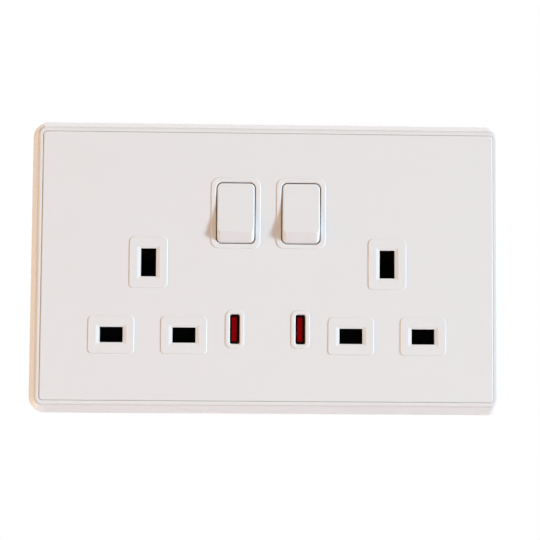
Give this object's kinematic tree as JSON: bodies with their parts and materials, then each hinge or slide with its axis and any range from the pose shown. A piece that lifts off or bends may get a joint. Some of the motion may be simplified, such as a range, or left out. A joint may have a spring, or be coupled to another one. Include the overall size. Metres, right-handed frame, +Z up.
{
  "type": "twin switched wall socket",
  "caption": "Twin wall socket-outlet with rocker switches, shuttered pin slots and red indicator lenses, a clip-on fascia in a drafted surround and a rear housing for a wall box.",
  "frame": {"origin": "middle of the plate, on the wall plane where the surround's rear rim rests", "axes": "+X to the right seen from the front, +Z up the wall, +Y into the wall; the front faces -Y"},
  "size_m": [0.1478, 0.0322, 0.091],
  "materials": {
    "white_moulding": "white urea moulding, glossy",
    "white_rocker": "white moulding, glossy",
    "black_moulding": "black moulding, matt",
    "grey_moulding": "pale grey moulding, matt",
    "brass": "pressed brass",
    "silver": "silver contact metal",
    "spring_steel": "drawn spring wire",
    "plated_steel": "zinc plated",
    "nylon": "natural nylon",
    "red_lens": "clear red moulding, glossy",
    "lamp_glass": "clear lamp glass",
    "resistor_lacquer": "lacquered",
    "tinned_wire": "tinned copper wire"
  },
  "bodies": {
    "socket_body": {"surround_frame": "white_moulding", "fascia": "white_moulding", "front_housing": "black_moulding", "contact_cover": "black_moulding", "rear_housing": "grey_moulding", "line_busbar": "brass", "fixed_contacts": "silver", "line_contact_left": "brass", "line_contact_right": "brass", "neutral_busbar": "brass", "earth_busbar": "brass", "line_terminal": "brass", "earth_terminal": "brass", "neutral_terminal": "brass", "terminal_screws": "plated_steel", "shutter_spring_left": "spring_steel", "shutter_spring_right": "spring_steel", "indicator_lens_left": "red_lens", "indicator_lamp_left": "lamp_glass", "resistor_left": "resistor_lacquer", "indicator_leads_left": "tinned_wire", "indicator_lens_right": "red_lens", "indicator_lamp_right": "lamp_glass", "resistor_right": "resistor_lacquer", "indicator_leads_right": "tinned_wire", "housing_screws": "plated_steel", "frame_screws": "plated_steel"},
    "left_rocker": {"rocker_left": "white_rocker", "plunger_left": "nylon", "plunger_spring_left": "spring_steel"},
    "left_blade": {"switch_blade_left": "brass", "blade_contact_left": "silver"},
    "left_shutter": {"shutter_left": "black_moulding"},
    "right_rocker": {"rocker_right": "white_rocker", "plunger_right": "nylon", "plunger_spring_right": "spring_steel"},
    "right_blade": {"switch_blade_right": "brass", "blade_contact_right": "silver"},
    "right_shutter": {"shutter_right": "black_moulding"}
  },
  "joints": [
    {"name": "left_rocker_tilt", "type": "hinge", "parent": "socket_body", "child": "left_rocker", "pos_m": [-0.01005, -0.0065, 0.0164], "axis": [1, 0, 0], "range_deg": [0, 20]},
    {"name": "left_blade_rock", "type": "hinge", "parent": "socket_body", "child": "left_blade", "pos_m": [-0.01005, 0.004, 0.0164], "axis": [1, 0, 0], "range_deg": [-24.01, 0.01]},
    {"name": "left_shutter_slide", "type": "slide", "parent": "socket_body", "child": "left_shutter", "axis": [0, 0, -1], "range_m": [0, 0.0056], "stiffness_N_per_m": 120, "springref_m": -0.006, "deforming": ["shutter_spring_left"]},
    {"name": "right_rocker_tilt", "type": "hinge", "parent": "socket_body", "child": "right_rocker", "pos_m": [0.01005, -0.0065, 0.0164], "axis": [1, 0, 0], "range_deg": [0, 20]},
    {"name": "right_blade_rock", "type": "hinge", "parent": "socket_body", "child": "right_blade", "pos_m": [0.01005, 0.004, 0.0164], "axis": [1, 0, 0], "range_deg": [-24.01, 0.01]},
    {"name": "right_shutter_slide", "type": "slide", "parent": "socket_body", "child": "right_shutter", "axis": [0, 0, -1], "range_m": [0, 0.0056], "stiffness_N_per_m": 120, "springref_m": -0.006, "deforming": ["shutter_spring_right"]}
  ],
  "couplings": [
    {"joint": "left_blade_rock", "follows": "left_rocker_tilt", "ratio": -1.2},
    {"joint": "right_blade_rock", "follows": "right_rocker_tilt", "ratio": -1.2}
  ]
}
